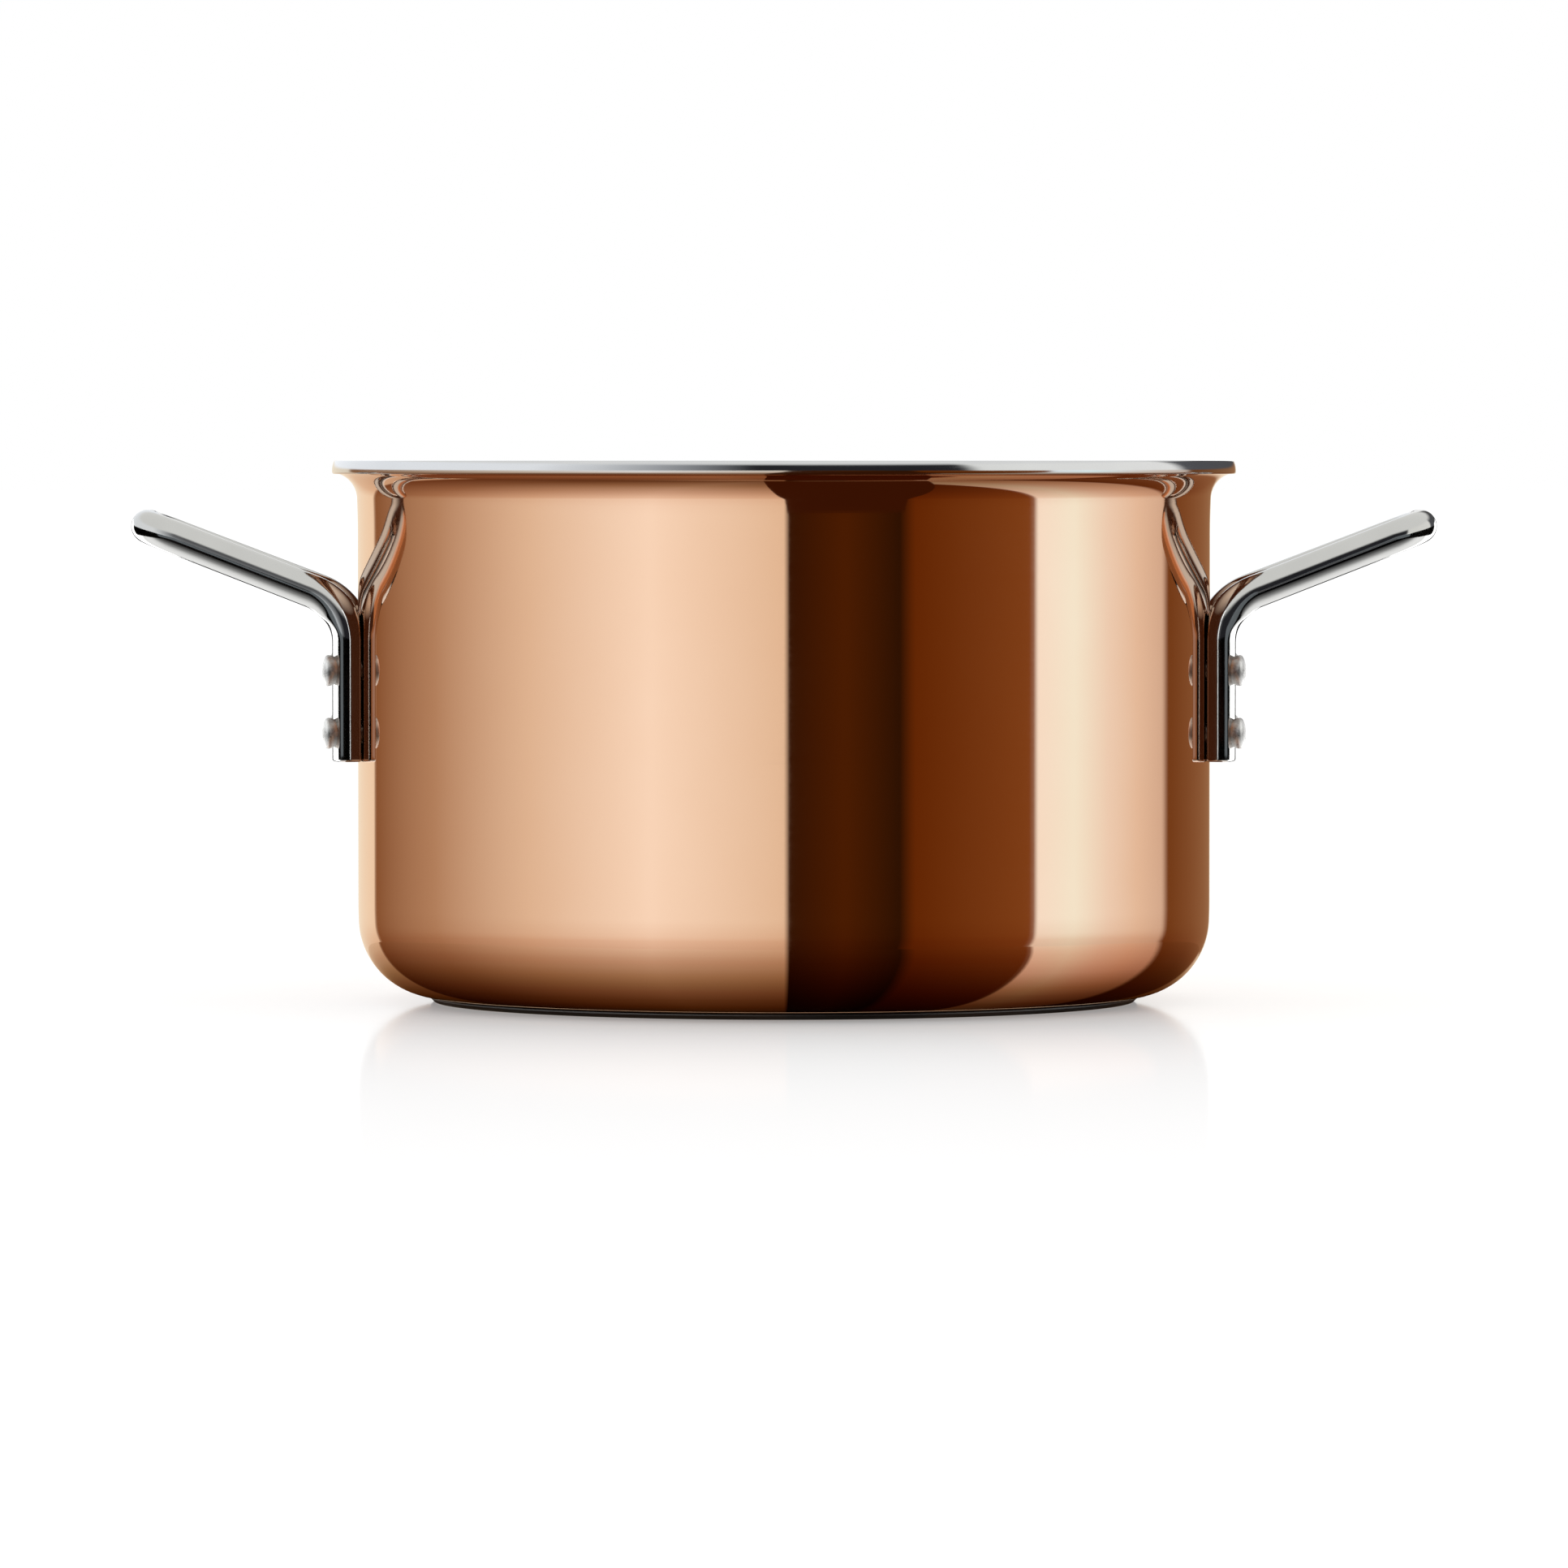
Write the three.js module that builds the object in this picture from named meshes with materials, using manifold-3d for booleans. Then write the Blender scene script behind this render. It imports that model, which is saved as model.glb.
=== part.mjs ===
// Copper-clad cooking pot with two riveted hairpin handles.
// Millimetres, +Z up. The origin is the centre of the base, where the pot stands.
// +X and -X point along the two handles.

import * as THREE from 'three';
import { mergeVertices } from 'three/addons/utils/BufferGeometryUtils.js';
import Module from 'manifold-3d';

// Vessel: driving dimensions
const BODY_DIAMETER = 205;
const POT_HEIGHT = 130;
const BOTTOM_CORNER_RADIUS = 18.8;
const COPPER_THICKNESS = 0.7;
const CORE_THICKNESS = 1.8;
const LINER_THICKNESS = 0.6;
const BOND_GAP = 0.1;

// Rim: the wall flares out under a hemmed steel edge
const FLARE_RADIUS = 8.8;
const FLARE_TURN = THREE.MathUtils.degToRad(60.7);
const RIM_OVERHANG = 1.66;
const RIM_EDGE_RADIUS = 0.5;

// Base plate under the flat of the bottom
const BASE_THICKNESS = 1.2;
const BASE_OVERLAP = 1.5;
const BASE_CHAMFER = 0.9;

// Handles: one bent rod each, pressed flat where it is riveted
const ROD_DIAMETER = 8;
const LEG_SPACING = 31;
const LEG_THICKNESS = 6.1;
const LEG_WIDTH = 10.4;
const LEG_OVAL_DEPTH = 10;
const LEG_FACE_TURN = THREE.MathUtils.degToRad(5.5);
const LEG_END_ROUND = 0.6;
const HANDLE_PROJECTION = 54.6;
const HANDLE_CORNER_HEIGHT = 95.5;
const HANDLE_RISE = THREE.MathUtils.degToRad(21.1);
const HANDLE_BEND_RADIUS = 13.2;
const HANDLE_END_RADIUS = 9.2;
const SEAT_GAP = 0.15;

// Rivets: two through each leg
const RIVET_PITCH = 15;
const RIVET_TOP_MARGIN = 6.6;
const RIVET_END_MARGIN = 6.8;
const RIVET_SHANK_DIAMETER = 4.8;
const RIVET_HOLE_CLEARANCE = 0.1;
const RIVET_HEAD_DIAMETER = 7.4;
const RIVET_HEAD_FOOT_DIAMETER = 5.6;
const RIVET_HEAD_FLANK = 1.3;
const RIVET_HEAD_DOME = 1.15;
const INNER_HEAD_DIAMETER = 9;
const INNER_HEAD_HEIGHT = 1.3;
const DRILL_OVERRUN = 10;

// Fineness of the facets
const VESSEL_SEGMENTS = 48;
const CORNER_STEPS = 5;
const FLARE_STEPS = 4;
const EDGE_STEPS = 2;
const ROD_SIDES = 20;
const BEND_STEPS = 6;
const END_STEPS = 5;
const RIVET_SEGMENTS = 12;
const DOME_STEPS = 3;
const FLANK_STEPS = 2;

// Derived vessel sizes
const bodyRadius = BODY_DIAMETER / 2;
const bottomFlatRadius = bodyRadius - BOTTOM_CORNER_RADIUS;
const copperBottom = BASE_THICKNESS + BOND_GAP;
const coreOutside = COPPER_THICKNESS + BOND_GAP;
const coreInside = coreOutside + CORE_THICKNESS;
const linerOutside = coreInside + BOND_GAP;
const linerInside = linerOutside + LINER_THICKNESS;
const innerRadius = bodyRadius - linerInside;
const rimThickness = CORE_THICKNESS + 2 * (BOND_GAP + LINER_THICKNESS);
const rimUnderside = POT_HEIGHT - rimThickness;
const flareStart = rimUnderside - FLARE_RADIUS * Math.sin(FLARE_TURN);
const copperEdgeRadius = bodyRadius + FLARE_RADIUS * (1 - Math.cos(FLARE_TURN));
const rimRadius = copperEdgeRadius + RIM_OVERHANG;

// Derived handle and rivet sizes
const rodRadius = ROD_DIAMETER / 2;
const legInside = bodyRadius + SEAT_GAP;
const legOutside = legInside + LEG_THICKNESS;
const legMiddle = (legInside + legOutside) / 2;
const legAzimuth = Math.asin(LEG_SPACING / 2 / legMiddle);
const legX = legMiddle * Math.cos(legAzimuth);
const shankRadius = RIVET_SHANK_DIAMETER / 2;

const wasm = await Module();
wasm.setup();

// Geometry helpers

// Points along an arc in the radius-height plane, angles counted from +radius towards +height.
function arcPoints(centreRadius, centreHeight, radius, startAngle, endAngle, steps) {
  return Array.from({ length: steps + 1 }, (_, i) => {
    const angle = THREE.MathUtils.lerp(startAngle, endAngle, i / steps);
    return new THREE.Vector2(
      centreRadius + radius * Math.cos(angle),
      centreHeight + radius * Math.sin(angle),
    );
  });
}

// Keeps position alone, shares equal vertices and drops triangles that shrank to a line on the axis.
function weld(geometry) {
  geometry.deleteAttribute('normal');
  geometry.deleteAttribute('uv');
  const welded = mergeVertices(geometry);
  const index = welded.getIndex().array;
  const kept = [];
  for (let i = 0; i < index.length; i += 3) {
    const [a, b, c] = index.slice(i, i + 3);
    if (a !== b && b !== c && c !== a) kept.push(a, b, c);
  }
  welded.setIndex(kept);
  return welded;
}

// Turns a profile of (radius, height) points about Z. It starts and ends on the axis, outside first.
function revolve(profile, segments) {
  const lathe = new THREE.LatheGeometry(profile, segments);
  lathe.rotateX(Math.PI / 2);
  return weld(lathe);
}

function toSolid(geometry) {
  const vertProperties = new Float32Array(geometry.getAttribute('position').array);
  const triVerts = new Uint32Array(geometry.getIndex().array);
  return new wasm.Manifold(new wasm.Mesh({ numProp: 3, vertProperties, triVerts }));
}

function toGeometry(solid) {
  const { vertProperties, triVerts } = solid.getMesh();
  const geometry = new THREE.BufferGeometry();
  geometry.setAttribute('position', new THREE.BufferAttribute(vertProperties, 3));
  geometry.setIndex(new THREE.BufferAttribute(triVerts, 1));
  return geometry;
}

function drill(geometry, drills) {
  const drilled = drills.reduce((solid, tool) => solid.subtract(toSolid(tool)), toSolid(geometry));
  return toGeometry(drilled);
}

// Joins rings of points, each running anticlockwise about the direction of travel, into a capped solid.
function loft(rings) {
  const sides = rings[0].length;
  const last = rings.length - 1;
  const positions = rings.flat().flatMap((point) => point.toArray());
  const middleOf = (ring) => ring
    .reduce((sum, point) => sum.add(point), new THREE.Vector3())
    .divideScalar(sides);
  positions.push(...middleOf(rings[0]).toArray(), ...middleOf(rings[last]).toArray());
  const startCentre = rings.length * sides;
  const endCentre = startCentre + 1;
  const index = [];
  for (let side = 0; side < sides; side += 1) {
    const next = (side + 1) % sides;
    for (let ring = 0; ring < last; ring += 1) {
      const here = ring * sides;
      const ahead = here + sides;
      index.push(here + side, here + next, ahead + next);
      index.push(here + side, ahead + next, ahead + side);
    }
    index.push(startCentre, next, side);
    index.push(endCentre, last * sides + side, last * sides + next);
  }
  const geometry = new THREE.BufferGeometry();
  geometry.setAttribute('position', new THREE.Float32BufferAttribute(positions, 3));
  geometry.setIndex(index);
  return geometry;
}

// Vessel: three nested layers that follow one profile

// One face of the wall, a given depth inside the copper's outside, from the axis up the flare to a height.
function vesselFace(depth, topHeight) {
  const cornerRadius = BOTTOM_CORNER_RADIUS - depth;
  const flareRadius = FLARE_RADIUS + depth;
  const flareTurn = Math.asin((topHeight - flareStart) / flareRadius);
  return [
    new THREE.Vector2(0, copperBottom + depth),
    ...arcPoints(bottomFlatRadius, copperBottom + BOTTOM_CORNER_RADIUS, cornerRadius,
      -Math.PI / 2, 0, CORNER_STEPS),
    ...arcPoints(bodyRadius + FLARE_RADIUS, flareStart, flareRadius,
      Math.PI, Math.PI - flareTurn, FLARE_STEPS),
  ];
}

function copperProfile() {
  const edgeTop = rimUnderside + LINER_THICKNESS;
  return [
    ...vesselFace(0, rimUnderside),
    new THREE.Vector2(copperEdgeRadius, edgeTop),
    ...vesselFace(COPPER_THICKNESS, edgeTop).reverse(),
  ];
}

function coreProfile() {
  const flangeRadius = rimRadius - LINER_THICKNESS - BOND_GAP;
  const flangeUnderside = rimUnderside + LINER_THICKNESS + BOND_GAP;
  const flangeTop = flangeUnderside + CORE_THICKNESS;
  return [
    ...vesselFace(coreOutside, flangeUnderside),
    new THREE.Vector2(flangeRadius, flangeUnderside),
    new THREE.Vector2(flangeRadius, flangeTop),
    ...vesselFace(coreInside, flangeTop).reverse(),
  ];
}

// The liner runs out over the flange, round its edge and back under it as a hem beside the copper.
function linerProfile() {
  const hemRadius = rimRadius - LINER_THICKNESS;
  const hemTop = POT_HEIGHT - LINER_THICKNESS;
  const hemBottom = rimUnderside + LINER_THICKNESS;
  const hemEnd = copperEdgeRadius + BOND_GAP;
  const edgeCentre = rimRadius - RIM_EDGE_RADIUS;
  return [
    ...vesselFace(linerOutside, hemTop),
    new THREE.Vector2(hemRadius, hemTop),
    new THREE.Vector2(hemRadius, hemBottom),
    new THREE.Vector2(hemEnd, hemBottom),
    new THREE.Vector2(hemEnd, rimUnderside),
    ...arcPoints(edgeCentre, rimUnderside + RIM_EDGE_RADIUS, RIM_EDGE_RADIUS, -Math.PI / 2, 0, EDGE_STEPS),
    ...arcPoints(edgeCentre, POT_HEIGHT - RIM_EDGE_RADIUS, RIM_EDGE_RADIUS, 0, Math.PI / 2, EDGE_STEPS),
    ...vesselFace(linerInside, POT_HEIGHT).reverse(),
  ];
}

function baseProfile() {
  const plateRadius = bottomFlatRadius + BASE_OVERLAP;
  return [
    new THREE.Vector2(0, 0),
    new THREE.Vector2(plateRadius - BASE_CHAMFER, 0),
    new THREE.Vector2(plateRadius, BASE_CHAMFER),
    new THREE.Vector2(plateRadius, BASE_THICKNESS),
    new THREE.Vector2(0, BASE_THICKNESS),
  ];
}

// Handle: the path of the rod, from the foot of a leg to the tip of the loop

const UP = new THREE.Vector3(0, 0, 1);
const slope = new THREE.Vector3(Math.cos(HANDLE_RISE), 0, Math.sin(HANDLE_RISE));
const loopNormal = new THREE.Vector3(-Math.sin(HANDLE_RISE), 0, Math.cos(HANDLE_RISE));

// The arms lean towards each other so that they run tangent into the round end.
const tipX = bodyRadius + HANDLE_PROJECTION - rodRadius;
const endCentreRun = (tipX - legX) / Math.cos(HANDLE_RISE) - HANDLE_END_RADIUS;
const legSide = LEG_SPACING / 2;
const armLean = Math.acos(HANDLE_END_RADIUS / Math.hypot(legSide, endCentreRun))
  - Math.atan2(endCentreRun, legSide);
const armDirection = slope.clone()
  .multiplyScalar(Math.cos(armLean))
  .add(new THREE.Vector3(0, -Math.sin(armLean), 0));

// The bend turns the rod from upright to the arm's direction.
const bendTurn = Math.acos(armDirection.z);
const bendOut = new THREE.Vector3(armDirection.x, armDirection.y, 0).normalize();
const bendStart = HANDLE_CORNER_HEIGHT - HANDLE_BEND_RADIUS * Math.tan(bendTurn / 2);
const legOut = new THREE.Vector3(Math.cos(legAzimuth), Math.sin(legAzimuth), 0);
const legTwist = bendOut.angleTo(legOut);

const rivetTop = bendStart - RIVET_TOP_MARGIN;
const rivetHeights = { upper: rivetTop, lower: rivetTop - RIVET_PITCH };
const legFoot = rivetHeights.lower - RIVET_END_MARGIN;

// A ring of the rod's section: an oval whose inner and outer faces are pressed flat, the outer one turned
// a little towards the side that the leg faces.
function rodRing(centre, travel, outward, { ovalDepth, width, outside, inside, faceTurn }) {
  const across = travel.clone().cross(outward);
  return Array.from({ length: ROD_SIDES }, (_, i) => {
    const angle = (2 * Math.PI * i) / ROD_SIDES;
    const offset = width / 2 * Math.sin(angle);
    const outerFace = outside - Math.tan(faceTurn) * offset;
    const depth = THREE.MathUtils.clamp(ovalDepth / 2 * Math.cos(angle), -inside, outerFace);
    return centre.clone().addScaledVector(outward, depth).addScaledVector(across, offset);
  });
}

const roundSection = {
  ovalDepth: ROD_DIAMETER, width: ROD_DIAMETER, outside: rodRadius, inside: rodRadius, faceTurn: 0,
};

// The pressed section, drawn in by an inset at the rounded foot.
function legSection(inset) {
  return {
    ovalDepth: LEG_OVAL_DEPTH - 2 * inset,
    width: LEG_WIDTH - 2 * inset,
    outside: LEG_THICKNESS / 2 - inset,
    inside: LEG_THICKNESS / 2 - inset,
    faceTurn: LEG_FACE_TURN,
  };
}

function legRing(height, inset) {
  return rodRing(new THREE.Vector3(legX, legSide, height), UP, legOut, legSection(inset));
}

// Along the bend the press flats run out: the outer one slowly, the inner one where the rod leaves the wall.
function bendRing(turn) {
  const travel = UP.clone().multiplyScalar(Math.cos(turn)).addScaledVector(bendOut, Math.sin(turn));
  const towardsCentre = bendOut.clone().multiplyScalar(Math.cos(turn)).addScaledVector(UP, -Math.sin(turn));
  const roundness = THREE.MathUtils.smoothstep(turn, 0, bendTurn);
  const centre = new THREE.Vector3(legX, legSide, bendStart)
    .addScaledVector(bendOut, HANDLE_BEND_RADIUS * (1 - Math.cos(turn)))
    .addScaledVector(UP, HANDLE_BEND_RADIUS * Math.sin(turn));
  const outward = towardsCentre.applyAxisAngle(travel, legTwist * (1 - roundness));
  const clearOfWall = (HANDLE_BEND_RADIUS + LEG_THICKNESS / 2) / Math.cos(turn) - HANDLE_BEND_RADIUS;
  return rodRing(centre, travel, outward, {
    ovalDepth: THREE.MathUtils.lerp(LEG_OVAL_DEPTH, ROD_DIAMETER, roundness),
    width: THREE.MathUtils.lerp(LEG_WIDTH, ROD_DIAMETER, roundness),
    outside: THREE.MathUtils.lerp(LEG_THICKNESS / 2, rodRadius, roundness),
    inside: Math.min(rodRadius, clearOfWall),
    faceTurn: LEG_FACE_TURN * (1 - roundness),
  });
}

// The round end lies in the sloping plane of the loop. The angle is 0 beside the arm's side of the centre.
function endRing(angle) {
  const run = endCentreRun + HANDLE_END_RADIUS * Math.sin(angle);
  const centre = new THREE.Vector3(legX, 0, HANDLE_CORNER_HEIGHT)
    .addScaledVector(slope, run)
    .add(new THREE.Vector3(0, HANDLE_END_RADIUS * Math.cos(angle), 0));
  const travel = slope.clone()
    .multiplyScalar(Math.cos(angle))
    .add(new THREE.Vector3(0, -Math.sin(angle), 0));
  return rodRing(centre, travel, loopNormal.clone().negate(), roundSection);
}

function handleGeometry() {
  const half = [legRing(legFoot, LEG_END_ROUND), legRing(legFoot + LEG_END_ROUND, 0)];
  for (let i = 0; i <= BEND_STEPS; i += 1) {
    half.push(bendRing(bendTurn * i / BEND_STEPS));
  }
  for (let i = 0; i <= END_STEPS; i += 1) {
    half.push(endRing(THREE.MathUtils.lerp(armLean, Math.PI / 2, i / END_STEPS)));
  }
  const mirrored = half.slice(0, -1).reverse()
    .map((ring) => ring.map((point) => new THREE.Vector3(point.x, -point.y, point.z)));
  return drill(loft([...half, ...mirrored]), legDrills(0));
}

// Rivets: each lies along a radius of the pot, so its height is its distance from the pot's axis

// Points of a dome: from the edge of a disc of a given radius over an oval arc to its top on the axis.
function domePoints(radius, edgeHeight, rise) {
  return arcPoints(0, 0, 1, 0, Math.PI / 2, DOME_STEPS)
    .map((point) => new THREE.Vector2(radius * point.x, edgeHeight + rise * point.y));
}

// The outer head is a lens: it swells from a narrow foot to its edge, then closes in a dome.
function outerHeadPoints(seat) {
  const headRadius = RIVET_HEAD_DIAMETER / 2;
  const edgeHeight = seat + RIVET_HEAD_FLANK;
  const footAngle = Math.acos(RIVET_HEAD_FOOT_DIAMETER / RIVET_HEAD_DIAMETER);
  const swell = RIVET_HEAD_FLANK / Math.sin(footAngle);
  const flank = arcPoints(0, 0, 1, -footAngle, 0, FLANK_STEPS)
    .map((point) => new THREE.Vector2(headRadius * point.x, edgeHeight + swell * point.y));
  return [...flank.slice(0, -1), ...domePoints(headRadius, edgeHeight, RIVET_HEAD_DOME)];
}

function rivetGeometry() {
  const innerHeadRadius = INNER_HEAD_DIAMETER / 2;
  const wallFlat = innerRadius * Math.cos(Math.PI / VESSEL_SEGMENTS);
  const innerSeat = wallFlat - innerHeadRadius ** 2 / (2 * innerRadius) - SEAT_GAP;
  const faceRise = RIVET_HEAD_FOOT_DIAMETER / 2 * Math.tan(LEG_FACE_TURN);
  const outerSeat = legOutside + faceRise + SEAT_GAP;
  return revolve([
    ...domePoints(innerHeadRadius, innerSeat, -INNER_HEAD_HEIGHT).reverse(),
    new THREE.Vector2(shankRadius, innerSeat),
    new THREE.Vector2(shankRadius, outerSeat),
    ...outerHeadPoints(outerSeat),
  ], RIVET_SEGMENTS);
}

// Turns geometry that stands on Z to lie along the radius at an azimuth and a height.
function layAlongRadius(geometry, azimuth, height) {
  return geometry.rotateY(Math.PI / 2).rotateZ(azimuth).translate(0, 0, height);
}

const legAzimuths = { front: -legAzimuth, back: legAzimuth };

// The four holes of the handle on one side: turn is the azimuth that the handle points to.
function legDrills(turn) {
  const drillRadius = shankRadius + RIVET_HOLE_CLEARANCE;
  const drillStart = innerRadius - DRILL_OVERRUN;
  const drillEnd = legOutside + DRILL_OVERRUN;
  const profile = [
    new THREE.Vector2(0, drillStart),
    new THREE.Vector2(drillRadius, drillStart),
    new THREE.Vector2(drillRadius, drillEnd),
    new THREE.Vector2(0, drillEnd),
  ];
  return Object.values(legAzimuths).flatMap((azimuth) => Object.values(rivetHeights).map((height) => (
    layAlongRadius(revolve(profile, RIVET_SEGMENTS), turn + azimuth, height))));
}

// Materials

function metal(color, roughness) {
  return new THREE.MeshStandardMaterial({ color, roughness, metalness: 1 });
}

const polishedCopper = metal('#c98a62', 0.14);
const rolledAluminium = metal('#b9bcbf', 0.45);
const satinSteel = metal('#c9cacb', 0.25);
const darkSteel = metal('#3f464a', 0.5);
const polishedSteel = metal('#c6c8ca', 0.12);
const rivetSteel = metal('#a9aaab', 0.5);

// Assembly

function part(name, geometry, material) {
  const mesh = new THREE.Mesh(geometry, material);
  mesh.name = name;
  return mesh;
}

const handleTurns = { right: 0, left: Math.PI };
const wallDrills = Object.values(handleTurns).flatMap((turn) => legDrills(turn));

function vesselLayer(name, profile, material) {
  return part(name, drill(revolve(profile, VESSEL_SEGMENTS), wallDrills), material);
}

// A handle with its four rivets, built pointing along +X.
function handleGroup(side) {
  const group = new THREE.Group();
  group.add(part(`handle_${side}`, handleGeometry(), polishedSteel));
  for (const [level, height] of Object.entries(rivetHeights)) {
    for (const [leg, azimuth] of Object.entries(legAzimuths)) {
      const seenLeg = side === 'right' ? leg : { front: 'back', back: 'front' }[leg];
      const geometry = layAlongRadius(rivetGeometry(), azimuth, height);
      group.add(part(`rivet_${side}_${seenLeg}_${level}`, geometry, rivetSteel));
    }
  }
  group.rotation.z = handleTurns[side];
  return group;
}

const pot = new THREE.Group();
pot.add(vesselLayer('copper_shell', copperProfile(), polishedCopper));
pot.add(vesselLayer('aluminium_core', coreProfile(), rolledAluminium));
pot.add(vesselLayer('steel_liner', linerProfile(), satinSteel));
pot.add(part('base_plate', revolve(baseProfile(), VESSEL_SEGMENTS), darkSteel));
for (const side of Object.keys(handleTurns)) {
  pot.add(handleGroup(side));
}

export default pot;
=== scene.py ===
"""Copper-clad cooking pot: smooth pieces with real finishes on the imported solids, in a bright studio."""

import math

import bmesh
import bpy
from mathutils import Matrix, Vector


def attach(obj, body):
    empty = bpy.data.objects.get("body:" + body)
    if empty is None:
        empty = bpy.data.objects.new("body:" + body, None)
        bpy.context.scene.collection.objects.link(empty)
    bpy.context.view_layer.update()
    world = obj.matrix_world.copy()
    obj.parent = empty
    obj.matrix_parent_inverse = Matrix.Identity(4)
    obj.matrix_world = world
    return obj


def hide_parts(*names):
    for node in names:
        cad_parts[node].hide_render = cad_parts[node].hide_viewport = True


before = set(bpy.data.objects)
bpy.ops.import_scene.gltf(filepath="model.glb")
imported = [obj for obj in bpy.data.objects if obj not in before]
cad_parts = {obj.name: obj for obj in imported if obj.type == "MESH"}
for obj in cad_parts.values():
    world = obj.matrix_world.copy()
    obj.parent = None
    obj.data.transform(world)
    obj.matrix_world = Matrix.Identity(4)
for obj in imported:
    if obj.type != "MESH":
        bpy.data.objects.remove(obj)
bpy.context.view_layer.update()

# Lengths are in millimetres, the same as in the solids, and become metres when a mesh is made
MM = 0.001

# Vessel
BODY_RADIUS = 102.5
POT_HEIGHT = 130.0
CORNER_RADIUS = 18.8
COPPER_THICKNESS = 0.7
CORE_THICKNESS = 1.8
LINER_THICKNESS = 0.6
BOND_GAP = 0.1
FLARE_RADIUS = 8.8
FLARE_TURN = math.radians(60.7)
CORNER_RUN_IN = 5.0
CORNER_RUN_IN_TURN = math.radians(2.5)
FLARE_RUN_IN = 9.0
FLARE_RUN_IN_TURN = math.radians(2.5)
FLARE_END_TURN = math.radians(71.4)
RIM_OVERHANG = 1.66
RIM_EDGE_RADIUS = 0.5
RIM_CROWN_LOW = math.radians(-3)
RIM_CROWN_HIGH = math.radians(21)
BASE_THICKNESS = 1.2
BASE_OVERLAP = 1.5
BASE_CHAMFER = 0.9

# Handles
ROD_DIAMETER = 8.0
LEG_SPACING = 31.0
LEG_THICKNESS = 6.1
LEG_WIDTH = 10.4
LEG_OVAL_DEPTH = 10.0
LEG_FACE_TURN = math.radians(5.5)
LEG_FACE_CROWN = 30.0
LEG_END_ROUND = 0.6
PRESS_EDGE = 0.5
HANDLE_PROJECTION = 54.6
HANDLE_CORNER_HEIGHT = 95.5
HANDLE_RISE = math.radians(21.1)
HANDLE_BEND_RADIUS = 13.2
HANDLE_END_RADIUS = 9.2
SEAT_GAP = 0.15

# Rivets
RIVET_PITCH = 15.0
RIVET_TOP_MARGIN = 6.6
RIVET_END_MARGIN = 6.8
RIVET_SHANK_DIAMETER = 4.8
RIVET_HEAD_DIAMETER = 7.4
RIVET_HEAD_FOOT_DIAMETER = 6.6
RIVET_HEAD_FLANK = 1.1
RIVET_HEAD_DOME = 1.35
INNER_HEAD_DIAMETER = 9.0
INNER_HEAD_HEIGHT = 1.3

# Fineness of the meshes
VESSEL_SEGMENTS = 256
CORNER_STEPS = 24
WALL_STEPS = 16
FLARE_STEPS = 20
RUN_IN_STEPS = 6
EDGE_STEPS = 5
CROWN_STEPS = 6
FLOOR_RINGS = 16
ROD_SIDES = 96
FOOT_STEPS = 5
LEG_STEPS = 10
BEND_STEPS = 40
ARM_STEPS = 12
END_STEPS = 28
RIVET_SEGMENTS = 48
DOME_STEPS = 12
FLANK_STEPS = 12
SHARP_TURN = math.radians(40)

# Derived vessel sizes
core_outside = COPPER_THICKNESS + BOND_GAP
core_inside = core_outside + CORE_THICKNESS
liner_outside = core_inside + BOND_GAP
liner_inside = liner_outside + LINER_THICKNESS
inner_radius = BODY_RADIUS - liner_inside
bottom_flat_radius = BODY_RADIUS - CORNER_RADIUS
copper_bottom = BASE_THICKNESS + BOND_GAP
rim_thickness = CORE_THICKNESS + 2 * (BOND_GAP + LINER_THICKNESS)
rim_underside = POT_HEIGHT - rim_thickness
copper_edge_radius = BODY_RADIUS + FLARE_RADIUS * (1 - math.cos(FLARE_TURN))
rim_radius = copper_edge_radius + RIM_OVERHANG

# The corner as drawn: a short, slight run-in from the wall, and then the turn to the same flat bottom
corner_run_in_radius = CORNER_RUN_IN / math.sin(CORNER_RUN_IN_TURN)
corner_run_in_depth = corner_run_in_radius * (1 - math.cos(CORNER_RUN_IN_TURN))
corner_radius = (CORNER_RADIUS - corner_run_in_depth) / math.cos(CORNER_RUN_IN_TURN)
corner_centre_height = copper_bottom + corner_radius
corner_end = corner_centre_height - corner_radius * math.sin(CORNER_RUN_IN_TURN) + CORNER_RUN_IN

# The flare as spun: a long, slight run-in and then a tighter turn than the solids have, to the same edge
run_in_radius = FLARE_RUN_IN / math.sin(FLARE_RUN_IN_TURN)
run_in_out = run_in_radius * (1 - math.cos(FLARE_RUN_IN_TURN))
flare_out = copper_edge_radius - BODY_RADIUS - run_in_out
flare_radius = flare_out / (math.cos(FLARE_RUN_IN_TURN) - math.cos(FLARE_END_TURN))
flare_centre_radius = copper_edge_radius + flare_radius * math.cos(FLARE_END_TURN)
flare_centre_height = rim_underside - flare_radius * math.sin(FLARE_END_TURN)
run_in_start = flare_centre_height + flare_radius * math.sin(FLARE_RUN_IN_TURN) - FLARE_RUN_IN

# Derived handle sizes
rod_radius = ROD_DIAMETER / 2
leg_side = LEG_SPACING / 2
leg_inside = BODY_RADIUS + SEAT_GAP
leg_outside = leg_inside + LEG_THICKNESS
leg_middle = (leg_inside + leg_outside) / 2
leg_azimuth = math.asin(leg_side / leg_middle)
leg_x = leg_middle * math.cos(leg_azimuth)


# Mesh helpers

def blend(start, end, share):
    return start + (end - start) * share


def steps_between(start, end, steps):
    """Values from start to end, with both."""
    return [blend(start, end, i / steps) for i in range(steps + 1)]


def smoothstep(share):
    return share * share * (3 - 2 * share)


def arc(centre_radius, centre_height, radius, start, end, steps):
    """Points of (radius, height) along an arc, its angles counted from outward towards up."""
    return [(centre_radius + radius * math.cos(angle), centre_height + radius * math.sin(angle))
            for angle in steps_between(start, end, steps)]


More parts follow.
